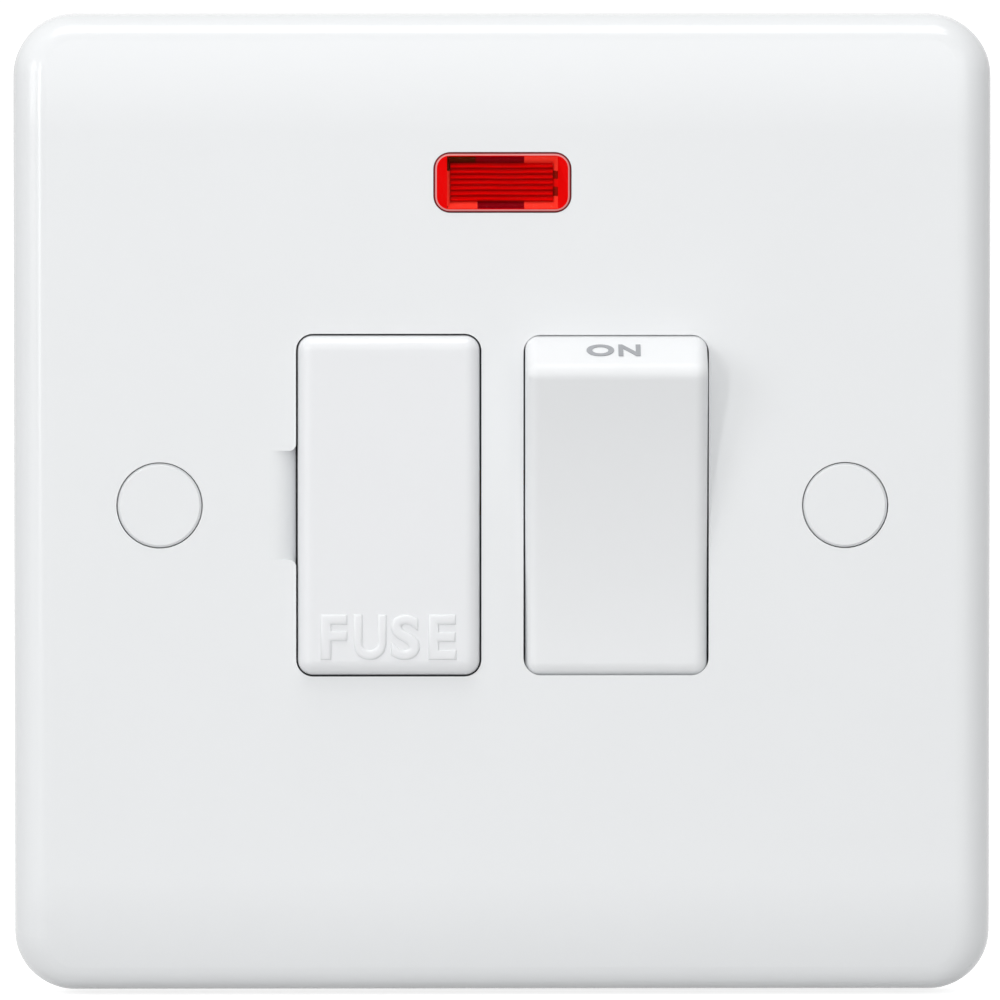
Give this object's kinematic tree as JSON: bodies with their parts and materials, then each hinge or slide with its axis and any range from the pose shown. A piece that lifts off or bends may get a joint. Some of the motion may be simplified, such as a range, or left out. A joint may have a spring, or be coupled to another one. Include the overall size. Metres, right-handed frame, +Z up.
{
  "type": "switched fused connection unit",
  "caption": "Flush wall plate with a rocker switch, a slide-out cartridge fuse drawer and a neon indicator; it feeds and protects one fixed appliance.",
  "frame": {"origin": "centre of the plate's back plane, which lies on the wall, midway between the two fixing screws", "axes": "+X to the right and +Z up as seen from the front, +Y into the wall box; the front faces -Y"},
  "size_m": [0.086, 0.0301, 0.086],
  "materials": {
    "white_moulding": "moulded, smooth semi-gloss white",
    "carrier_moulding": "moulded, smooth semi-gloss white",
    "rocker_moulding": "moulded, smooth semi-gloss white",
    "housing_moulding": "moulded, fine matt white",
    "red_lens": "translucent red, polished",
    "lamp_glass": "clear",
    "nickel_wire": "drawn wire",
    "resistor_body": "lacquered",
    "lead_sleeve": "extruded sleeve",
    "plated_steel": "zinc plated",
    "brass_screw": "turned",
    "spring_bronze": "rolled strip",
    "contact_brass": "stamped strip",
    "contact_silver": "rolled silver alloy",
    "plunger_moulding": "low-friction moulding",
    "spring_steel": "drawn wire",
    "fuse_ceramic": "fired ceramic",
    "fuse_cap_metal": "drawn, plated",
    "pillar_brass": "extruded and cut"
  },
  "bodies": {
    "unit": {"front_plate": "white_moulding", "rear_housing": "housing_moulding", "neon_lens": "red_lens", "screw_cap_left": "white_moulding", "screw_cap_right": "white_moulding", "fixing_screw_left": "plated_steel", "fixing_screw_right": "plated_steel", "housing_screws": "plated_steel", "fuse_clip_upper": "spring_bronze", "fuse_clip_lower": "spring_bronze", "fixed_contact_line": "contact_brass", "fixed_contact_neutral": "contact_brass", "fixed_tips": "contact_silver", "fulcrum_line": "contact_brass", "fulcrum_neutral": "contact_brass", "terminal_supply_line": "pillar_brass", "terminal_supply_neutral": "pillar_brass", "terminal_load_line": "pillar_brass", "terminal_load_neutral": "pillar_brass", "terminal_earth": "pillar_brass", "terminal_screws": "brass_screw", "neon_lamp": "lamp_glass", "neon_electrodes": "nickel_wire", "neon_resistor": "resistor_body", "neon_leads": "lead_sleeve"},
    "rocker": {"rocker": "rocker_moulding", "spring_line": "spring_steel", "spring_neutral": "spring_steel"},
    "plunger_line": {"plunger_line": "plunger_moulding"},
    "plunger_neutral": {"plunger_neutral": "plunger_moulding"},
    "bridge_line": {"contact_bridge_line": "contact_brass", "moving_tip_line": "contact_silver"},
    "bridge_neutral": {"contact_bridge_neutral": "contact_brass", "moving_tip_neutral": "contact_silver"},
    "fuse_drawer": {"fuse_carrier": "carrier_moulding", "fuse_barrel": "fuse_ceramic", "fuse_end_caps": "fuse_cap_metal", "fuse_element": "nickel_wire"}
  },
  "joints": [
    {"name": "rocker_tilt", "type": "hinge", "parent": "unit", "child": "rocker", "pos_m": [0.01, -0.0045, 0], "axis": [1, 0, 0], "range_deg": [-20, 0]},
    {"name": "bridge_line_tilt", "type": "hinge", "parent": "unit", "child": "bridge_line", "pos_m": [0.006, 0.0065, 0], "axis": [1, 0, 0], "range_deg": [0, 20]},
    {"name": "bridge_neutral_tilt", "type": "hinge", "parent": "unit", "child": "bridge_neutral", "pos_m": [0.014, 0.0065, 0], "axis": [1, 0, 0], "range_deg": [0, 20]},
    {"name": "plunger_line_slide", "type": "slide", "parent": "rocker", "child": "plunger_line", "axis": [0, 0.9848, 0.1736], "range_m": [-0.001, 0], "stiffness_N_per_m": 400, "springref_m": 0.001, "deforming": ["spring_line"]},
    {"name": "plunger_neutral_slide", "type": "slide", "parent": "rocker", "child": "plunger_neutral", "axis": [0, 0.9848, 0.1736], "range_m": [-0.001, 0], "stiffness_N_per_m": 400, "springref_m": 0.001, "deforming": ["spring_neutral"]},
    {"name": "fuse_drawer_slide", "type": "slide", "parent": "unit", "child": "fuse_drawer", "axis": [0, -1, 0], "range_m": [0, 0.014]}
  ],
  "couplings": [
    {"joint": "bridge_line_tilt", "follows": "rocker_tilt", "ratio": -1},
    {"joint": "bridge_neutral_tilt", "follows": "rocker_tilt", "ratio": -1}
  ]
}
